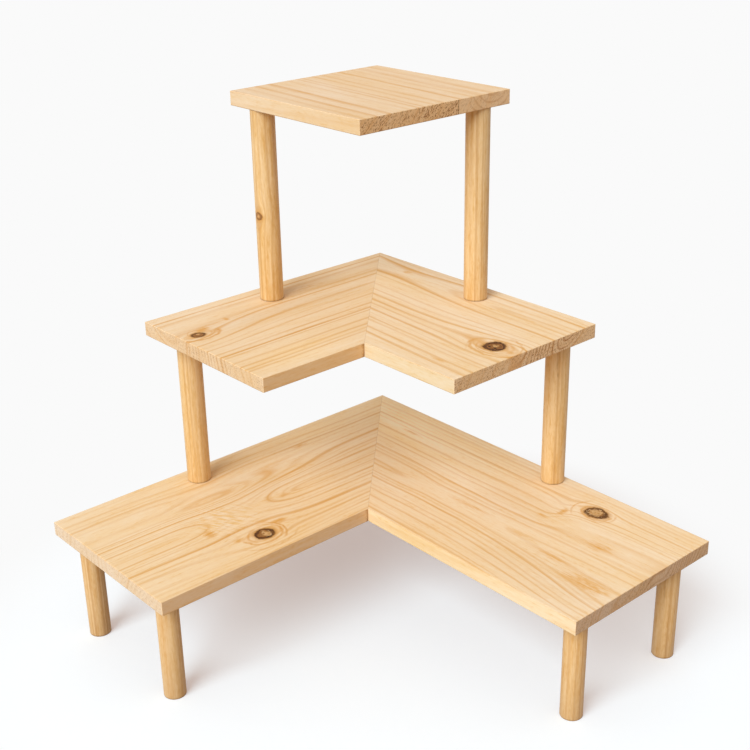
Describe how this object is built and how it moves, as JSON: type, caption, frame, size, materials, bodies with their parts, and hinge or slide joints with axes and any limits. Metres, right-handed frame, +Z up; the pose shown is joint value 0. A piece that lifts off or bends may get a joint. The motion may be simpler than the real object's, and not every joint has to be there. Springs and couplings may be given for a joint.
{
  "type": "corner display stand",
  "caption": "Wooden corner display stand with L-shaped mitred shelves in steps, a square top shelf, and plain round posts and legs.",
  "frame": {"origin": "on the floor, under the middle of the bottom shelf's outline", "axes": "+Z up; the right arms run along +X and the left arms along -Y from the stand's back corner, which is at the low X, high Y side"},
  "size_m": [0.56, 0.53, 0.621],
  "materials": {
    "pine_board": "sanded bare pine, matt, straight amber grain with a few knots",
    "pine_round": "turned and sanded bare pine, matt, golden",
    "beech_pin": "plain beech dowel",
    "zinc_steel": "zinc-plated"
  },
  "bodies": {
    "root": {"bottom_left_board": "pine_board", "bottom_right_board": "pine_board", "middle_left_board": "pine_board", "middle_right_board": "pine_board", "top_front_stave": "pine_board", "top_back_stave": "pine_board", "lower_left_post": "pine_round", "lower_right_post": "pine_round", "upper_left_post": "pine_round", "upper_right_post": "pine_round", "left_rear_leg": "pine_round", "left_front_leg": "pine_round", "right_front_leg": "pine_round", "right_rear_leg": "pine_round", "corner_leg": "pine_round", "bottom_mitre_dowels": "beech_pin", "middle_mitre_dowels": "beech_pin", "leg_dowel_screws": "zinc_steel", "lower_post_dowel_screws": "zinc_steel", "upper_post_dowel_screws": "zinc_steel", "lower_post_base_screws": "zinc_steel", "upper_post_base_screws": "zinc_steel"}
  },
  "joints": []
}
